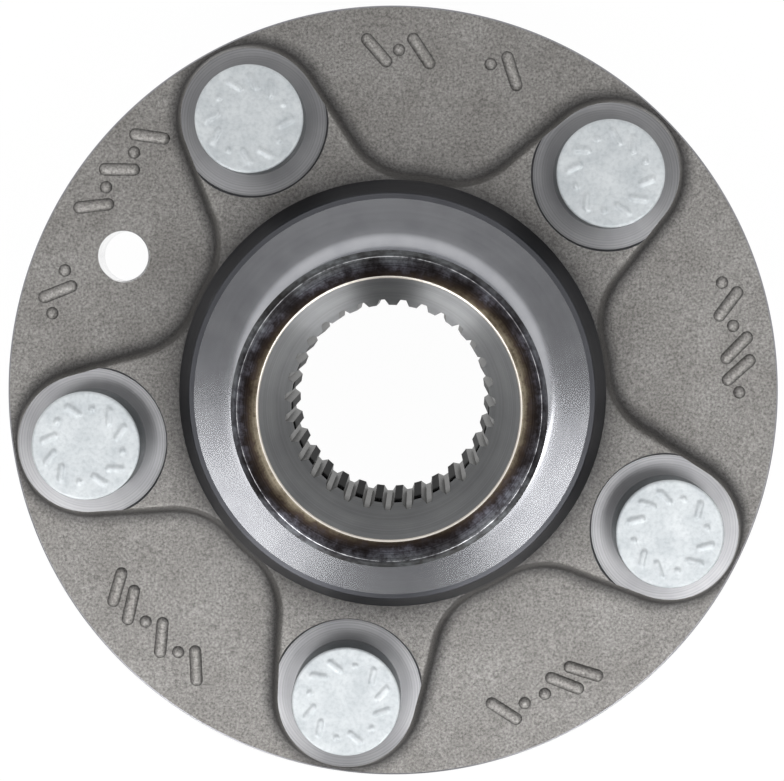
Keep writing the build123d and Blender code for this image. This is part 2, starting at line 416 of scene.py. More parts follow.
# Turned outside: rim, disc face, relief groove, pilot and the axle nut's recess
corner_rings((rim_radius, RIM_HEIGHT - RIM_ROUND), RIM_ROUND, 75, 0, 5, 1.0, TURNED)
rings((FLANGE_RADIUS, RIM_HEIGHT - RIM_ROUND), (FLANGE_RADIUS, RIM_ROUND), 2, (1.0, 1.0), TURNED)
rings((FLANGE_RADIUS, RIM_ROUND), (rim_radius, 0), 2, (1.0, 1.0), TURNED)
groove_edge = (PILOT_RADIUS + GROOVE_WIDTH, 0)
rings((rim_radius, 0), groove_edge, 12, (1.0, 0.5), TURNED)
groove_floor = (PILOT_RADIUS + GROOVE_WIDTH - GROOVE_DEPTH, GROOVE_DEPTH)
rings(groove_edge, groove_floor, 1, (0.5, 0.5), TURNED)
rings(groove_floor, (PILOT_RADIUS, GROOVE_DEPTH), 1, (0.5, 0.5), TURNED)
pilot_foot = (PILOT_RADIUS, PILOT_END + 2 * PILOT_LEAD)
rings((PILOT_RADIUS, GROOVE_DEPTH), pilot_foot, 4, (0.5, 0.4), TURNED)
pilot_edge = (PILOT_RADIUS - PILOT_LEAD, PILOT_END)
rings(pilot_foot, pilot_edge, 2, (0.4, 0.4), TURNED)
rings(pilot_edge, (RECESS_RADIUS, PILOT_END), 3, (0.4, 0.3), TURNED)
recess_top_radius = RECESS_RADIUS - (NUT_SEAT_HEIGHT - PILOT_END) * RECESS_LEAN
corner_foot = (recess_top_radius + RECESS_CORNER * RECESS_LEAN, NUT_SEAT_HEIGHT - RECESS_CORNER)
# The recess wall takes the same dark finish, painted shade
rings((RECESS_RADIUS, PILOT_END), corner_foot, 6, (0.3, 0.1), BLACK)
recess_corner = (recess_top_radius - RECESS_CORNER, NUT_SEAT_HEIGHT - RECESS_CORNER)
corner_rings(recess_corner, RECESS_CORNER, 10, 90, 7, 0.1, TURNED)
lead_edge = (SPLINE_MINOR + SPLINE_LEAD, NUT_SEAT_HEIGHT)
rings((recess_top_radius - RECESS_CORNER, NUT_SEAT_HEIGHT), lead_edge, 4, (0.1, 0.0), TURNED)


def mesh_from_rows(name, rows, finishes):
    """Closed skin over rows of equal length, joined round the columns and from last row to first."""
    count, columns = len(rows), len(rows[0][0])
    place = np.array([row[0] for row in rows])
    height = np.array([row[1] for row in rows])
    corners = np.stack([place.real, place.imag, height], axis=-1).reshape(-1, 3) * MM
    row, column = np.meshgrid(np.arange(count), np.arange(columns), indexing="ij")
    next_row, next_column = (row + 1) % count, (column + 1) % columns
    faces = np.stack(
        [
            row * columns + column,
            next_row * columns + column,
            next_row * columns + next_column,
            row * columns + next_column,
        ],
        axis=-1,
    ).reshape(-1, 4)
    mesh = bpy.data.meshes.new(name)
    mesh.from_pydata(corners, [], faces[:, ::-1])
    finish = np.roll([row[2] + np.zeros(columns, np.int32) for row in rows], -1, axis=0)
    mesh.polygons.foreach_set("material_index", finish.ravel().astype(np.int32))
    for material in finishes:
        mesh.materials.append(material)
    return mesh


# Finishes of the forging. Radius and height of the point being shaded drive every turned pattern,
# because a lathe leaves its marks as rings about the hub's axis.
def new_material(name):
    """Empty node material with its object coordinates ready."""
    material = bpy.data.materials.new(name)
    material.use_nodes = True
    material.node_tree.nodes.clear()
    return material, material.node_tree, add_node(material.node_tree, "TexCoord").outputs["Object"]


def finish_material(tree, shader):
    """Connect a surface shader to the material's output."""
    add_node(tree, "OutputMaterial", {"Surface": shader.outputs[0]})


def lathe_frame(tree, place, centre=(0.0, 0.0, 0.0)):
    """Radius, a (radius, height) vector and the direction of turning, about one upright axis."""
    away = add_node(tree, "VectorMath", {0: place, 1: centre}, operation="SUBTRACT")
    flat = add_node(tree, "VectorMath", {0: away.outputs[0], 1: (1, 1, 0)}, operation="MULTIPLY")
    radius = add_node(tree, "VectorMath", {0: flat.outputs[0]}, operation="LENGTH")
    split = add_node(tree, "SeparateXYZ", {0: away.outputs[0]})
    section = add_node(tree, "CombineXYZ", {0: radius.outputs["Value"], 2: split.outputs[2]})
    turning = add_node(tree, "VectorMath", {0: (0, 0, 1), 1: flat.outputs[0]}, operation="CROSS_PRODUCT")
    direction = add_node(tree, "VectorMath", {0: turning.outputs[0]}, operation="NORMALIZE")
    return radius.outputs["Value"], section.outputs[0], direction.outputs[0]


def nearest_stud(tree, place):
    """Centre of the stud nearest to the point being shaded, for marks that run about each stud."""
    split = add_node(tree, "SeparateXYZ", {0: place})
    turn = add_node(tree, "Math", {0: split.outputs[1], 1: split.outputs[0]}, operation="ARCTAN2")
    arm = 2 * np.pi / ARMS
    count = add_node(
        tree, "Math", {0: turn.outputs[0], 1: 1 / arm, 2: -FIRST_ARM / arm}, operation="MULTIPLY_ADD"
    )
    whole = add_node(tree, "Math", {0: count.outputs[0]}, operation="ROUND")
    back = add_node(tree, "Math", {0: whole.outputs[0], 1: arm}, operation="MULTIPLY")
    first = (PITCH_RADIUS * MM * np.cos(FIRST_ARM), PITCH_RADIUS * MM * np.sin(FIRST_ARM), 0.0)
    centre = add_node(
        tree, "VectorRotate", {"Vector": first, "Angle": back.outputs[0]}, rotation_type="Z_AXIS"
    )
    return centre.outputs[0]


def toned(tree, colour, pattern, low, high, low_tone, high_tone=WHITE):
    """Colour times a tone that runs from one hex colour to another over a span of a grey pattern."""
    tone = add_node(tree, "ValToRGB", {0: pattern})
    tone.color_ramp.elements[0].position = low
    tone.color_ramp.elements[0].color = linear(low_tone)
    tone.color_ramp.elements[1].position = high
    tone.color_ramp.elements[1].color = linear(high_tone)
    product = add_node(
        tree, "Mix", {0: 1.0, 6: colour, 7: tone.outputs[0]}, data_type="RGBA", blend_type="MULTIPLY"
    )
    return product.outputs[2]


def forging_skin():
    """Shot-blasted forging skin: dull grey steel, dimpled by the shot and clouded by scale.

    It looks like fine grey sandpaper. An attribute darkens it towards 1 with painted shade, in the corners at
    the foot of the walls, round the boss and round the die marks, and brightens it towards -1, on the edges
    that the shot peens bright.
    """
    SHOT_DIMPLE = 0.44 * MM
    DIMPLE_DEPTH = 0.14 * MM
    CLOUD = 9.0 * MM
    EDGE_LIFT = 1.3
    material, tree, place = new_material("shot_blasted_forging")
    dimples = add_node(
        tree, "TexNoise", {"Vector": place, "Scale": 1 / SHOT_DIMPLE, "Detail": 4.0, "Roughness": 0.7}
    )
    clouds = add_node(
        tree, "TexNoise", {"Vector": place, "Scale": 1 / CLOUD, "Detail": 4.0, "Roughness": 0.55}
    )
    painted_shade_and_peening = add_node(tree, "Attribute", attribute_name="painted_shade_and_peening")
    grainy = toned(tree, linear(WHITE), dimples.outputs[0], 0.33, 0.69, "#62605e", "#a19f9c")
    clouded = toned(tree, grainy, clouds.outputs[0], 0.32, 0.68, "#e8e7e6")
    # Painted shade: darker towards this grey where the attribute nears 1, at wall feet, round the boss and
    # round the marks
    with_painted_shade = toned(tree, clouded, painted_shade_and_peening.outputs["Fac"], 0.0, 1.0, WHITE, "#9f9fa1")
    peened = add_node(
        tree,
        "MapRange",
        {
            "Value": painted_shade_and_peening.outputs["Fac"],
            "From Min": -1.0,
            "From Max": 0.0,
            "To Min": EDGE_LIFT,
            "To Max": 1.0,
        },
    )
    colour = add_node(
        tree, "Mix", {0: 1.0, 6: with_painted_shade, 7: peened.outputs[0]}, data_type="RGBA", blend_type="MULTIPLY"
    )
    bump = add_node(tree, "Bump", {"Height": dimples.outputs[0], "Strength": 0.6, "Distance": DIMPLE_DEPTH})
    shader = add_node(
        tree,
        "BsdfPrincipled",
        {"Base Color": colour.outputs[2], "Metallic": 0.65, "Roughness": 0.48, "Normal": bump.outputs[0]},
    )
    finish_material(tree, shader)
    return material


# The shine of a ring mark stretches across it, a quarter turn from the direction of turning
ACROSS_THE_MARKS = 0.25


def machined_steel(
    name,
    colour,
    roughness,
    anisotropy,
    mark_width,
    mark_depth,
    mark_tone="#dedede",
    stain_tone="#f3f3f4",
    stain_width=5.0,
    edge_tint=WHITE,
    about_studs=False,
):
    """Steel cut or ground on a lathe: ring marks of one width and depth, and a stretched shine.

    Widths and depths are in millimetres. The marks run about the hub's axis, or about each stud.
    """
    material, tree, place = new_material(name)
    centre = nearest_stud(tree, place) if about_studs else (0.0, 0.0, 0.0)
    _, section, direction = lathe_frame(tree, place, centre)
    marks = add_node(tree, "TexNoise", {"Vector": section, "Scale": 1 / (mark_width * MM), "Detail": 2.0})
    stains = add_node(tree, "TexNoise", {"Vector": place, "Scale": 1 / (stain_width * MM), "Detail": 3.0})
    marked = toned(tree, linear(colour), marks.outputs[0], 0.35, 0.60, mark_tone)
    shader = add_node(
        tree,
        "BsdfPrincipled",
        {
            "Base Color": toned(tree, marked, stains.outputs[0], 0.35, 0.62, stain_tone),
            "Metallic": 1.0,
            "Roughness": roughness,
            "Specular Tint": linear(edge_tint),
            "Anisotropic": anisotropy,
            "Anisotropic Rotation": ACROSS_THE_MARKS,
            "Tangent": direction,
        },
    )
    if mark_depth > 0:
        bump = add_node(
            tree, "Bump", {"Height": marks.outputs[0], "Strength": 0.6, "Distance": mark_depth * MM}
        )
        tree.links.new(bump.outputs[0], shader.inputs["Normal"])
    finish_material(tree, shader)
    return material


def heat_tinted_end():
    """Turned end of the spigot, oxidised by induction hardening.

    The tint runs out from straw at the bore through brown and purple to blue grey. Its rings are
    oval and off the axis, as the heating coil sat, and drift in and out in ragged blotches.
    """
    DRIFT = 5.0 * MM
    BLOTCH = 1.3 * MM
    STREAK = 0.22 * MM
    BLOTCH_DEPTH = 0.05 * MM
    DRIFT_REACH = 2.2 * MM
    BLOTCH_REACH = 3.2 * MM
    COIL_PLACE = (0.02 * MM, -0.18 * MM, 0.0)
    COIL_TURN = (0.0, 0.0, np.radians(20))
    COIL_OVAL = (1.038, 0.965, 1.0)
    material, tree, place = new_material("heat_tinted_steel")
    _, section, direction = lathe_frame(tree, place)
    coil = add_node(
        tree,
        "Mapping",
        {"Vector": place, "Location": COIL_PLACE, "Rotation": COIL_TURN, "Scale": COIL_OVAL},
        vector_type="TEXTURE",
    )
    radius, _, _ = lathe_frame(tree, coil.outputs[0])
    drift = add_node(tree, "TexNoise", {"Vector": place, "Scale": 1 / DRIFT, "Detail": 2.0})
    blotches = add_node(
        tree, "TexNoise", {"Vector": place, "Scale": 1 / BLOTCH, "Detail": 5.0, "Roughness": 0.7}
    )
    streaks = add_node(tree, "TexNoise", {"Vector": section, "Scale": 1 / STREAK, "Detail": 3.0})
    moved = add_node(
        tree, "Math", {0: drift.outputs[0], 1: DRIFT_REACH, 2: -0.5 * DRIFT_REACH}, operation="MULTIPLY_ADD"
    )
    ragged = add_node(
        tree,
        "Math",
        {0: blotches.outputs[0], 1: BLOTCH_REACH, 2: -0.5 * BLOTCH_REACH},
        operation="MULTIPLY_ADD",
    )
    wander = add_node(tree, "Math", {0: moved.outputs[0], 1: ragged.outputs[0]}, operation="ADD")
    wandered = add_node(tree, "Math", {0: radius, 1: wander.outputs[0]}, operation="ADD")
    across = add_node(
        tree,
        "MapRange",
        {"Value": wandered.outputs[0], "From Min": MOUTH_RADIUS * MM, "From Max": SEAT_RADIUS * MM},
    )
    tint = add_node(tree, "ValToRGB", {0: across.outputs[0]})
    bands = [
        (0.00, "#bfb5a0"),
        (0.12, "#7f7564"),
        (0.22, "#54483f"),
        (0.38, "#413b3c"),
        (0.54, "#54525a"),
        (0.70, "#676870"),
        (0.84, "#717379"),
        (1.00, "#74777a"),
    ]
    ramp = tint.color_ramp
    for position, band in bands[1:-1]:
        ramp.elements.new(position)
    for element, (position, band) in zip(ramp.elements, bands):
        element.position = position
        element.color = linear(band)
    scuffed = toned(tree, tint.outputs[0], streaks.outputs[0], 0.30, 0.62, "#b4b4b4")
    speckled = toned(tree, scuffed, blotches.outputs[0], 0.36, 0.62, "#a9a4a1")
    clouded = toned(tree, speckled, drift.outputs[0], 0.36, 0.62, "#98938f")
    bump = add_node(tree, "Bump", {"Height": blotches.outputs[0], "Strength": 0.3, "Distance": BLOTCH_DEPTH})
    shader = add_node(
        tree,
        "BsdfPrincipled",
        {
            "Base Color": clouded,
            "Metallic": 0.9,
            "Roughness": 0.45,
            "Anisotropic": 0.85,
            "Anisotropic Rotation": ACROSS_THE_MARKS,
            "Normal": bump.outputs[0],
            "Tangent": direction,
        },
    )
    finish_material(tree, shader)
    return material


# In the order of the finish numbers: name, colour, roughness and anisotropy, then the ring marks.
# Marks finer than the eye can part are drawn as coarse as they need to show.
FINISHES = [
    forging_skin(),
    # Turned rim, disc face and pilot: grey, with rings that catch the light
    machined_steel("turned_steel", "#96969a", 0.36, 0.55, mark_width=0.25, mark_depth=0.010),
    # Ground seat and shoulder: bright and smooth, without a mark that can be felt
    machined_steel(
        "ground_steel", "#b0b1b5", 0.26, 0.72, mark_width=0.60, mark_depth=0.0, mark_tone="#fafafa"
    ),
    heat_tinted_end(),
    # Broached flanks and roots: dark, mottled by the cutting oil
    machined_steel(
        "broached_steel",
        "#504f4b",
        0.40,
        0.0,
        mark_width=0.30,
        mark_depth=0.010,
        mark_tone="#c4c4c2",
        stain_tone="#b4b4b0",
        stain_width=0.9,
    ),
    # Bored lands between the spaces: nearly black, painted shade for the dark under the hub that they
    # reflect; the dark edge tint keeps the white sheet out of them even at a grazing look
    machined_steel(
        "bored_land_painted_shade", "#2f2f2c", 0.30, 0.0, mark_width=0.30, mark_depth=0.004, edge_tint="#303030"
    ),
    # Boss's side and nut recess: dull and slate grey, painted shade for steep walls that the light from above
    # misses
    machined_steel("steel_with_painted_shade", "#45464a", 0.42, 0.35, mark_width=0.30, mark_depth=0.010),
    # Rounded edge of the mouth, rubbed bare: a bright line
    machined_steel("bare_edge", "#f6efe5", 0.40, 0.6, mark_width=0.30, mark_depth=0.004),
    # Crest of the spigot's chamfer, touched by handling: a broken bright line
    machined_steel(
        "worn_crest",
        "#f0f0f2",
        0.38,
        0.7,
        mark_width=0.12,
        mark_depth=0.0,
        mark_tone="#d8d8da",
        stain_tone="#4c4d52",
        stain_width=1.3,
    ),
    # Spotfaces round the studs: milled, with rings about each stud
    machined_steel(
        "milled_spotface", "#9f9fa1", 0.37, 0.50, mark_width=0.40, mark_depth=0.016, about_studs=True
    ),
    # Mouth's cone: turned with a coarse feed, so that its shine fans out in bright flanks
    machined_steel(
        "turned_cone", "#979899", 0.43, 1.0, mark_width=0.25, mark_depth=0.024, mark_tone="#e9e9e9"
    ),
    # Chamfer round the shoulder: turned and dull
    machined_steel("turned_chamfer", "#6c6d72", 0.60, 0.95, mark_width=0.25, mark_depth=0.020),
    # Locating hole's wall: reamed nearly to a mirror, so that it shows the white sheet
    machined_steel(
        "reamed_wall", "#fafafa", 0.20, 0.0, mark_width=0.30, mark_depth=0.0, mark_tone="#f6f6f6"
    ),
]

hub_mesh = mesh_from_rows("hub_forging", rows, FINISHES)
hub = bpy.data.objects.new("hub_forging", hub_mesh)
bpy.context.scene.collection.objects.link(hub)

# Spotfaces, stud holes and the locating hole are cut from the skin as the drill and mill cut them
STUD_HOLE_RADIUS = 6.5
STUD_HOLE_CHAMFER = 0.8
SPOTFACE_RADIUS = 13.15
SPOTFACE_FLARE = 0.4
SPOTFACE_HEIGHT = 12.4
LOCATING_HOLE_RADIUS = 4.5
LOCATING_HOLE_CHAMFER = 0.15
LOCATING_HOLE_ANGLE = FIRST_ARM + 1.5 * 2 * np.pi / ARMS
CUTTER_COLUMNS = 96
BEYOND = 1.0


def lathe(name, profile, centre, columns=CUTTER_COLUMNS):
    """Closed solid of revolution: a radius-height profile turned about an upright axis.

    Each profile point becomes a ring, and the first and last rings are closed by flat caps.
    """
    profile = np.array(profile)
    turn = np.exp(2j * np.pi * np.arange(columns) / columns)
    place = profile[:, :1] * turn + centre
    height = np.repeat(profile[:, 1:], columns, axis=1)
    corners = np.stack([place.real, place.imag, height], axis=-1).reshape(-1, 3) * MM
    row, column = np.meshgrid(np.arange(len(profile) - 1), np.arange(columns), indexing="ij")
    after = (column + 1) % columns
    sides = np.stack(
        [
            row * columns + column,
            row * columns + after,
            (row + 1) * columns + after,
            (row + 1) * columns + column,
        ],
        axis=-1,
    ).reshape(-1, 4)
    faces = sides.tolist()
    faces.append(list(range(columns))[::-1])
    faces.append(list(range((len(profile) - 1) * columns, len(profile) * columns)))
    mesh = bpy.data.meshes.new(name)
    mesh.from_pydata(corners, [], faces)
    return mesh


def stud_place(number):
    """Centre of a numbered stud in the plan, as a complex number."""
    return PITCH_RADIUS * np.exp(1j * (FIRST_ARM + number * 2 * np.pi / ARMS))


stud_hole_profile = [
    (STUD_HOLE_RADIUS + STUD_HOLE_CHAMFER + BEYOND, -BEYOND),
    (STUD_HOLE_RADIUS, STUD_HOLE_CHAMFER),
    (STUD_HOLE_RADIUS, SPOTFACE_HEIGHT),
    (SPOTFACE_RADIUS, SPOTFACE_HEIGHT),
    (SPOTFACE_RADIUS + SPOTFACE_FLARE, CROWN_HEIGHT),
    (SPOTFACE_RADIUS + SPOTFACE_FLARE, BOSS_FOOT_HEIGHT + BEYOND),
]
pocket_height = float(forged_height(np.array([PITCH_RADIUS * np.exp(1j * LOCATING_HOLE_ANGLE)]))[0])
locating_hole_profile = [
    (LOCATING_HOLE_RADIUS + LOCATING_HOLE_CHAMFER + BEYOND, -BEYOND),
    (LOCATING_HOLE_RADIUS, LOCATING_HOLE_CHAMFER),
    (LOCATING_HOLE_RADIUS, pocket_height - LOCATING_HOLE_CHAMFER),
    (LOCATING_HOLE_RADIUS + LOCATING_HOLE_CHAMFER + BEYOND, pocket_height + BEYOND),
]
cutters = [lathe("stud_hole_cutter", stud_hole_profile, stud_place(k)) for k in range(ARMS)]
cutters.append(
    lathe("locating_hole_cutter", locating_hole_profile, PITCH_RADIUS * np.exp(1j * LOCATING_HOLE_ANGLE))
)
for cutter_mesh in cutters:
    cutter_mesh.materials.append(FINISHES[MILLED if "stud" in cutter_mesh.name else DRILLED])
    cutter = bpy.data.objects.new(cutter_mesh.name, cutter_mesh)
    bpy.context.scene.collection.objects.link(cutter)
    cut = hub.modifiers.new("cut", "BOOLEAN")
    cut.operation = "DIFFERENCE"
    cut.solver = "EXACT"
    cut.material_mode = "TRANSFER"
    cut.object = cutter
SHARP_ANGLE = np.radians(28)
finished = bpy.data.meshes.new_from_object(hub.evaluated_get(bpy.context.evaluated_depsgraph_get()))
hub.modifiers.clear()
hub.data = finished
for cutter_mesh in cutters:
    bpy.data.objects.remove(bpy.data.objects[cutter_mesh.name])
finished.shade_smooth()
finished.set_sharp_from_angle(angle=SHARP_ANGLE)

# Painted shade along the foot of the star's walls and round the boss's foot, where those corners fall into
# shade, and the shot peens the star's upper edge bright
CREASE_MIDDLE = 0.10
CREASE_INSIDE = 1.8
CREASE_OUTSIDE = 2.7
BOSS_CREASE_WIDTH = 3.2
PEENED_MIDDLE = -1.9
PEENED_WIDTH = 0.8
PEENED_SHARE = 0.5
PEENED_FROM_RADIUS = 44.0
PEENED_RAMP = 6.0
corners = np.empty(len(finished.vertices) * 3)
finished.vertices.foreach_get("co", corners)
corner_place = (corners[0::3] + 1j * corners[1::3]) / MM
from_star = distance_from_star(corner_place)
from_crease = from_star - CREASE_MIDDLE
from_crease = np.clip(np.maximum(from_crease / CREASE_OUTSIDE, -from_crease / CREASE_INSIDE), 0, 1)
at_wall = 1 - from_crease**2 * (3 - 2 * from_crease)
at_boss = np.exp(-np.maximum(np.abs(corner_place) - BOSS_FOOT_RADIUS, 0) / BOSS_CREASE_WIDTH)
# The positive part of this attribute is painted shade; its negative part is the peened edge
painted_shade_and_peening = finished.attributes.new("painted_shade_and_peening", "FLOAT", "POINT")
peened = PEENED_SHARE * np.exp(-(((from_star - PEENED_MIDDLE) / PEENED_WIDTH) ** 2))
peened *= np.clip((np.abs(corner_place) - PEENED_FROM_RADIUS) / PEENED_RAMP, 0, 1)
painted_shade_and_peening.data.foreach_set("value", (np.maximum(at_wall, at_boss) - peened).astype(np.float32))
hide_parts("hub")
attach(hub, "root")

# ================================================================ die marks
# Plain raised bars and pips that the forging die leaves on the pocket floors, in seven groups. A
# length of zero is a pip; every bar leans the same way from its own radius.
DIE_MARKS = (
    # (radius, middle in degrees, half lengths of the marks in order)
    (61.0, 89.0, (2.6, 0.0, 2.6)),
    (61.0, 71.5, (2.6, 0.0)),
    (63.0, 141.0, (2.6, 0.0, 2.6, 0.0, 2.6)),
    (62.6, 163.5, (0.0, 2.6, 0.0)),
    (62.0, 9.0, (0.0, 2.6, 2.6, 0.0, 2.6, 0.0)),
    (60.8, 296.6, (2.6, 0.0, 0.0, 2.6, 2.6)),
    (60.7, 224.9, (2.6, 2.6, 0.0, 2.6, 0.0, 2.6)),
)
MARK_SPACING = 4.0
MARK_LEAN = np.radians(38)
MARK_STROKE = 0.62
MARK_PROFILE = (
    # (outset from the stroke's edge, height above the pocket floor)
    (0.62, -0.15),
    (0.42, 0.06),
    (0.22, 0.26),
    (0.02, 0.44),
    (-0.20, 0.57),
    (-0.42, 0.65),
    (-0.60, 0.67),
)
MARK_COLUMNS = 28
MARK_SHADE_TOP = 0.34

mark_place, mark_turn, mark_half = [], [], []
for group_radius, group_middle, half_lengths in DIE_MARKS:
    count = len(half_lengths)
    steps = (np.arange(count) - (count - 1) / 2) * MARK_SPACING / group_radius
    angles = np.radians(group_middle) + steps
    mark_place.append(group_radius * np.exp(1j * angles))
    mark_turn.append(np.exp(1j * (angles + MARK_LEAN)))
    mark_half.append(np.array(half_lengths))
mark_place, mark_turn, mark_half = (np.concatenate(part) for part in (mark_place, mark_turn, mark_half))


def die_mark_mesh(name):
    """One mesh of all marks: rounded ridges, each a stack of stadium outlines that shrink upwards."""
    offset, rise = np.array(MARK_PROFILE).T
    around = np.exp(2j * np.pi * (np.arange(MARK_COLUMNS) + 0.5) / MARK_COLUMNS)
    stadium = np.sign(around.real) * mark_half[:, None, None] + (MARK_STROKE + offset[:, None]) * around
    place = mark_place[:, None, None] + mark_turn[:, None, None] * stadium
    height = forged_height(place) + rise[:, None]
    corners = np.stack([place.real, place.imag, height], axis=-1).reshape(-1, 3) * MM
    marks, levels = len(mark_place), len(offset)
    mark, level, column = np.meshgrid(
        np.arange(marks), np.arange(levels - 1), np.arange(MARK_COLUMNS), indexing="ij"
    )
    start = (mark * levels + level) * MARK_COLUMNS
    after = (column + 1) % MARK_COLUMNS
    sides = np.stack(
        [start + column, start + after, start + MARK_COLUMNS + after, start + MARK_COLUMNS + column], axis=-1
    ).reshape(-1, 4)
    loops = np.arange(marks * levels * MARK_COLUMNS).reshape(marks, levels, MARK_COLUMNS)
    faces = sides.tolist() + loops[:, -1].tolist() + loops[:, 0, ::-1].tolist()
    mesh = bpy.data.meshes.new(name)
    mesh.from_pydata(corners, [], faces)
    mesh.shade_smooth()
    # Painted shade round the foot of each mark, up to the given height; above it the value goes negative and
    # the shot's peening brightens the top
    mark_shade_and_peening = np.clip((MARK_SHADE_TOP - rise) / MARK_SHADE_TOP, -1, 1)[:, None] + 0 * place.real
    mesh.attributes.new("painted_shade_and_peening", "FLOAT", "POINT").data.foreach_set("value", mark_shade_and_peening.ravel().astype(np.float32))
    return mesh


die_mark_skin = die_mark_mesh("hub_die_marks")
die_mark_skin.materials.append(FINISHES[FORGED])
die_marks = bpy.data.objects.new("hub_die_marks", die_mark_skin)
bpy.context.scene.collection.objects.link(die_marks)
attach(die_marks, "root")

# ================================================================ wheel studs
# Five cold-headed steel studs, zinc plated: a flat head on the spotface, a serrated shank pressed
# into the flange, a rolled M12 x 1.5 thread and a dog point.
HEAD_RADIUS = 9.5
HEAD_HEIGHT = 7.2
HEAD_ROUND = 0.5
HEAD_RELIEF_CUT = 0.3
HEAD_RINGS = 44
POLE_RADIUS = 0.15
SIDE_TOLERANCE = 0.1
STUD_REACH = 38.0
THREAD_MAJOR = 6.0
THREAD_MINOR = 5.08
THREAD_PITCH = 1.5
THREAD_TOP = 0.2
THREAD_BOTTOM = -34.2
THREAD_FLAT = 0.125
THREAD_UNDERCUT = 0.8
NECK_RADIUS_STUD = 5.8
SERRATION_TOP = 11.4
SERRATION_BOTTOM = 2.0
SERRATION_COUNT = 36
SERRATION_STEP = 0.01
SHANK_ROOT_RADIUS = 6.25
SHANK_CREST_RADIUS = 6.5
DOG_RADIUS = 4.9
DOG_LENGTH = 3.0
DOG_CHAMFER = 0.8
STUD_COLUMNS = 144
STUD_SHARP_ANGLE = np.radians(40)
ROWS_PER_PITCH = 8
RELIEF_HEIGHT = 0.28
RELIEF_STROKE = 0.24
RELIEF_FADE = 0.42
RELIEF_LEAN = np.radians(35)
HEAD_ARCS = (
    # (radius of the arc, from degrees, to degrees, half lengths of the marks in order)
    (6.5, 62.0, 298.0, (1.1, 0.0, 1.1, 1.1, 0.0, 1.1, 0.0, 1.1, 1.1)),
    (6.4, -32.0, 32.0, (1.1, 0.0, 1.1)),
)


def thread_radius(height, turn):
    """Radius of a right-handed thread: a V wave that climbs one pitch a turn.

    It is flat at crest and root, and fades out over one pitch at either end.
    """
    climb = np.mod(height / THREAD_PITCH - turn / (2 * np.pi), 1)
    wave = np.abs(2 * climb - 1)
    depth = np.clip((wave - THREAD_FLAT) / (1 - 2 * THREAD_FLAT), 0, 1)
    below_top = np.clip((THREAD_TOP - height) / THREAD_PITCH, 0, 1)
    above_bottom = np.clip((height - THREAD_BOTTOM) / THREAD_PITCH, 0, 1)
    return THREAD_MAJOR - (THREAD_MAJOR - THREAD_MINOR) * depth * (below_top * above_bottom)


def head_relief(radius, turn):
    """Embossed bars and pips on the head, in two arcs, as a height above the face.

    A mark is all points near a short leaning line; its height fades out from the line's stroke.
    """
    place = radius * np.exp(1j * turn)
    relief = np.zeros(turn.shape)
    for arc_radius, arc_from, arc_to, half_lengths in HEAD_ARCS:
        middles = np.exp(1j * np.radians(np.linspace(arc_from, arc_to, len(half_lengths))))
        leaning = middles * np.exp(1j * RELIEF_LEAN)
        off = place[:, None] - arc_radius * middles
        along = np.clip((off * np.conj(leaning)).real, -np.array(half_lengths), half_lengths)
        nearest = np.abs(off - along * leaning).min(axis=1)
        fade = np.clip(1 - (nearest - RELIEF_STROKE) / RELIEF_FADE, 0, 1)
        relief = np.maximum(relief, fade**2 * (3 - 2 * fade))
    return RELIEF_HEIGHT * relief


def stud_rows():
    """Radii and heights of the stud's skin, ring by ring from the head's middle to the tip."""
    turn = np.linspace(0, 2 * np.pi, STUD_COLUMNS, endpoint=False)
    head_top = SPOTFACE_HEIGHT + HEAD_HEIGHT
    stud_skin = []
    for radius in np.linspace(POLE_RADIUS, HEAD_RADIUS - HEAD_ROUND, HEAD_RINGS):
        stud_skin.append((radius + 0 * turn, head_top + head_relief(radius, turn)))
    for lean in np.radians(np.linspace(75, 0, 6)):
        edge = HEAD_RADIUS - HEAD_ROUND + HEAD_ROUND * np.cos(lean)
        stud_skin.append((edge + 0 * turn, head_top - HEAD_ROUND + HEAD_ROUND * np.sin(lean) + 0 * turn))
    under_head = (
        (HEAD_RADIUS, SPOTFACE_HEIGHT + HEAD_RELIEF_CUT),
        (HEAD_RADIUS - HEAD_RELIEF_CUT, SPOTFACE_HEIGHT),
    )
    for radius, height in under_head:
        stud_skin.append((radius + 0 * turn, height + 0 * turn))
    for height in (SPOTFACE_HEIGHT, SERRATION_TOP):
        stud_skin.append((NECK_RADIUS_STUD + 0 * turn, height + 0 * turn))
    wave = np.abs(np.mod(turn * SERRATION_COUNT / (2 * np.pi), 1) * 2 - 1)
    serrated = SHANK_ROOT_RADIUS + (SHANK_CREST_RADIUS - SHANK_ROOT_RADIUS) * wave
    for height in (SERRATION_TOP - SERRATION_STEP, SERRATION_BOTTOM + SERRATION_STEP):
        stud_skin.append((serrated, height + 0 * turn))
    for height in (SERRATION_BOTTOM, THREAD_TOP + THREAD_UNDERCUT):
        stud_skin.append((NECK_RADIUS_STUD + 0 * turn, height + 0 * turn))
    thread_rows = int((THREAD_TOP - THREAD_BOTTOM) / THREAD_PITCH * ROWS_PER_PITCH)
    for height in np.linspace(THREAD_TOP, THREAD_BOTTOM, thread_rows):
        stud_skin.append((thread_radius(height, turn), height + 0 * turn))
    tip = (
        (DOG_RADIUS, DOG_LENGTH),
        (DOG_RADIUS, DOG_CHAMFER),
        (DOG_RADIUS - DOG_CHAMFER, 0.0),
        (POLE_RADIUS, 0.0),
    )
    for radius, above in tip:
        stud_skin.append((radius + 0 * turn, above - STUD_REACH + 0 * turn))
    return turn, stud_skin


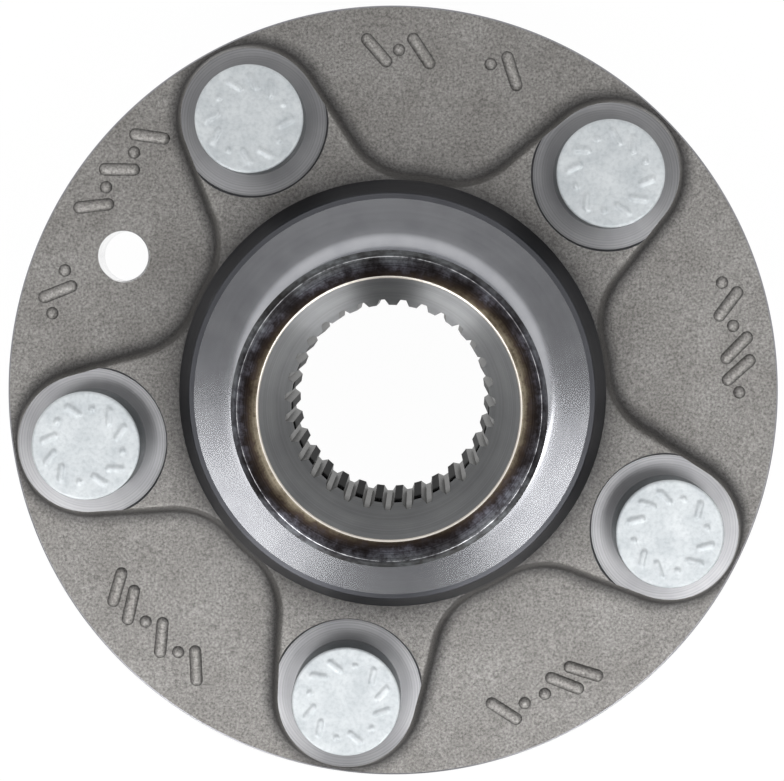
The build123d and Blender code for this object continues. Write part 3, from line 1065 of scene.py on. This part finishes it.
def stud_mesh(name, centre, spin):
    """Skin of one stud about its own axis, turned by its spin, with both poles closed."""
    turn, stud_skin = stud_rows()
    radius = np.array([row[0] for row in stud_skin])
    height = np.array([row[1] for row in stud_skin])
    place = radius * np.exp(1j * (turn + spin)) + centre
    corners = np.stack([place.real, place.imag, height], axis=-1).reshape(-1, 3) * MM
    count = len(stud_skin)
    row, column = np.meshgrid(np.arange(count - 1), np.arange(STUD_COLUMNS), indexing="ij")
    after = (column + 1) % STUD_COLUMNS
    sides = np.stack(
        [
            row * STUD_COLUMNS + column,
            (row + 1) * STUD_COLUMNS + column,
            (row + 1) * STUD_COLUMNS + after,
            row * STUD_COLUMNS + after,
        ],
        axis=-1,
    ).reshape(-1, 4)
    faces = sides.tolist()
    faces.append(list(range(STUD_COLUMNS)))
    faces.append(list(range((count - 1) * STUD_COLUMNS, count * STUD_COLUMNS))[::-1])
    mesh = bpy.data.meshes.new(name)
    mesh.from_pydata(corners, [], faces)
    # The head's side gets the darker copy of the zinc: painted shade, with a duller drawn finish
    at_side = radius[:, 0] > HEAD_RADIUS - SIDE_TOLERANCE
    on_side = at_side[:-1] & at_side[1:]
    finish = np.append(np.repeat(on_side, STUD_COLUMNS), [False, False])
    mesh.polygons.foreach_set("material_index", finish.astype(np.int32))
    mesh.shade_smooth()
    mesh.set_sharp_from_angle(angle=STUD_SHARP_ANGLE)
    return mesh


def zinc_plate(name, dark, light):
    """Zinc plate over a cold-headed blank: pale, dull, and finely crinkled.

    The crinkle is drawn coarser than the real one, so that it shows.
    """
    CRINKLE = 0.75 * MM
    CRINKLE_DEPTH = 0.10 * MM
    BLOOM = 4.0 * MM
    material, tree, place = new_material(name)
    crinkle = add_node(
        tree, "TexNoise", {"Vector": place, "Scale": 1 / CRINKLE, "Detail": 4.0, "Roughness": 0.6}
    )
    bloom = add_node(tree, "TexNoise", {"Vector": place, "Scale": 1 / BLOOM, "Detail": 3.0})
    plated = toned(tree, linear(WHITE), bloom.outputs[0], 0.30, 0.70, dark, light)
    pitted = toned(tree, plated, crinkle.outputs[0], 0.32, 0.56, "#eeeff0")
    bump = add_node(tree, "Bump", {"Height": crinkle.outputs[0], "Strength": 0.5, "Distance": CRINKLE_DEPTH})
    shader = add_node(
        tree,
        "BsdfPrincipled",
        {"Base Color": pitted, "Metallic": 0.55, "Roughness": 0.5, "Normal": bump.outputs[0]},
    )
    finish_material(tree, shader)
    return material


STUD_SPINS = np.radians([20, 145, 260, 75, 190])
zinc = zinc_plate("zinc_plate", "#b1b6b9", "#c4c8ca")
# Darker copy of the zinc for the heads' sides: painted shade over the same plate, with a duller drawn finish
shaded_side_zinc = zinc_plate("zinc_plate_with_painted_shade_on_side", "#6e7274", "#7e8284")
for number, spin in enumerate(STUD_SPINS):
    stud_name = f"wheel_stud_{number + 1}"
    skin = stud_mesh(stud_name + "_threaded", stud_place(number), spin)
    skin.materials.append(zinc)
    skin.materials.append(shaded_side_zinc)
    stud = bpy.data.objects.new(stud_name + "_threaded", skin)
    bpy.context.scene.collection.objects.link(stud)
    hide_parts(stud_name)
    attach(stud, "root")

# ================================================================ floor
# A plain sheet of white paper under the stud tips. Seen by the camera and in reflections it is nearly
# all glow, and the share left to the paper keeps the hub's shadow.
FLOOR_HALF_WIDTH = 3.0
FLOOR_DROP = 0.0002
FLOOR_SHADOW_SHARE = 0.03

floor_mesh = bpy.data.meshes.new("floor")
floor_z = -STUD_REACH * MM - FLOOR_DROP
w = FLOOR_HALF_WIDTH
floor_corners = [(-w, -w, floor_z), (w, -w, floor_z), (w, w, floor_z), (-w, w, floor_z)]
floor_mesh.from_pydata(floor_corners, [], [(0, 1, 2, 3)])
floor = bpy.data.objects.new("floor", floor_mesh)
bpy.context.scene.collection.objects.link(floor)
sheet, sheet_tree, _ = new_material("white_sheet")
sheet_path = add_node(sheet_tree, "LightPath")
seen = add_node(
    sheet_tree,
    "Math",
    {0: sheet_path.outputs["Is Camera Ray"], 1: sheet_path.outputs["Is Glossy Ray"]},
    operation="MAXIMUM",
)
seen = add_node(
    sheet_tree,
    "Math",
    {0: seen.outputs[0], 1: sheet_path.outputs["Is Transmission Ray"]},
    operation="MAXIMUM",
)
share = add_node(sheet_tree, "Math", {0: seen.outputs[0], 1: 1 - FLOOR_SHADOW_SHARE}, operation="MULTIPLY")
paper = add_node(sheet_tree, "BsdfDiffuse", {"Color": linear(WHITE)})
glow = add_node(sheet_tree, "Emission", {"Color": linear(WHITE), "Strength": 1.0})
sheet_mix = add_node(sheet_tree, "MixShader", {0: share.outputs[0], 1: paper.outputs[0], 2: glow.outputs[0]})
finish_material(sheet_tree, sheet_mix)
floor_mesh.materials.append(sheet)

bpy.context.scene.view_settings.view_transform = "Standard"
